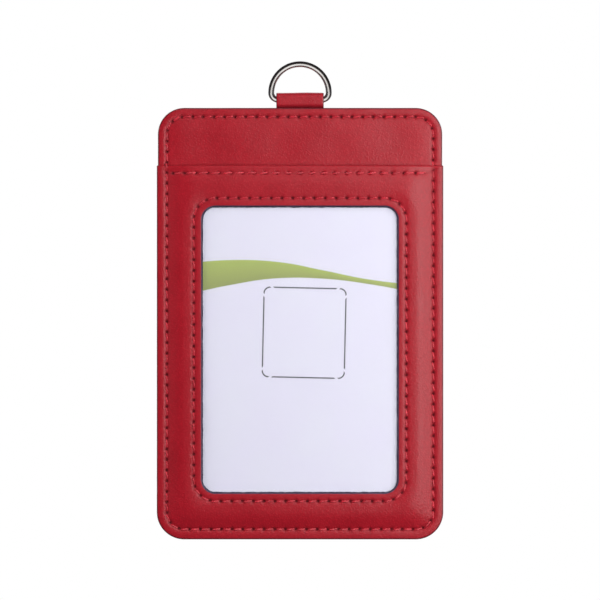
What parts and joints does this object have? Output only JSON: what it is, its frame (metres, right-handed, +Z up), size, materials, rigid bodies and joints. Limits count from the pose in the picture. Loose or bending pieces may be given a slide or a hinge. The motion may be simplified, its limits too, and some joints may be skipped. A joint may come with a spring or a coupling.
{
  "type": "lanyard badge holder",
  "caption": "Sewn leather badge holder hanging from a wire D-ring: clear-window pocket with a printed insert in front, plain pocket with an access card behind.",
  "frame": {"origin": "top of the D-ring's eye, on the inside of the wire, where a lanyard's clip pulls; the holder hangs below it", "axes": "+Z up, +X to the right as the front is read, +Y towards the back; the window pocket faces -Y"},
  "size_m": [0.0754, 0.0062, 0.1261],
  "materials": {
    "leather": "pebbled red leather, semi-gloss",
    "thread": "waxed red polyester thread",
    "nickel_wire": "polished nickel plate on round wire",
    "stiffener": "grey bonded board",
    "clear_film": "clear glossy film",
    "insert_card": "printed satin card",
    "card_plastic": "laminated printed card",
    "contact_plate": "gold-flashed contacts"
  },
  "bodies": {
    "ring": {"d_ring": "nickel_wire"},
    "holder": {"ring_loop": "leather", "front_cover": "leather", "stiffener_board": "stiffener", "back_cover": "leather", "front_pocket_panel": "leather", "window_film": "clear_film", "back_pocket_panel": "leather", "perimeter_needle_thread": "thread", "perimeter_bobbin_thread": "thread", "window_needle_thread": "thread", "window_bobbin_thread": "thread", "front_mouth_needle_thread": "thread", "front_mouth_bobbin_thread": "thread", "back_mouth_needle_thread": "thread", "back_mouth_bobbin_thread": "thread"},
    "insert": {"id_insert": "insert_card"},
    "card": {"access_card": "card_plastic", "card_chip": "contact_plate"}
  },
  "joints": [
    {"name": "ring_swing", "type": "hinge", "parent": "ring", "child": "holder", "pos_m": [0, 0, -0.0086], "axis": [1, 0, 0], "range_deg": [-125, 125]},
    {"name": "insert_slide", "type": "slide", "parent": "holder", "child": "insert", "axis": [0, 0, 1], "range_m": [0, 0.121]},
    {"name": "card_slide", "type": "slide", "parent": "holder", "child": "card", "axis": [0, 0, 1], "range_m": [-0.0142, 0.106]}
  ]
}
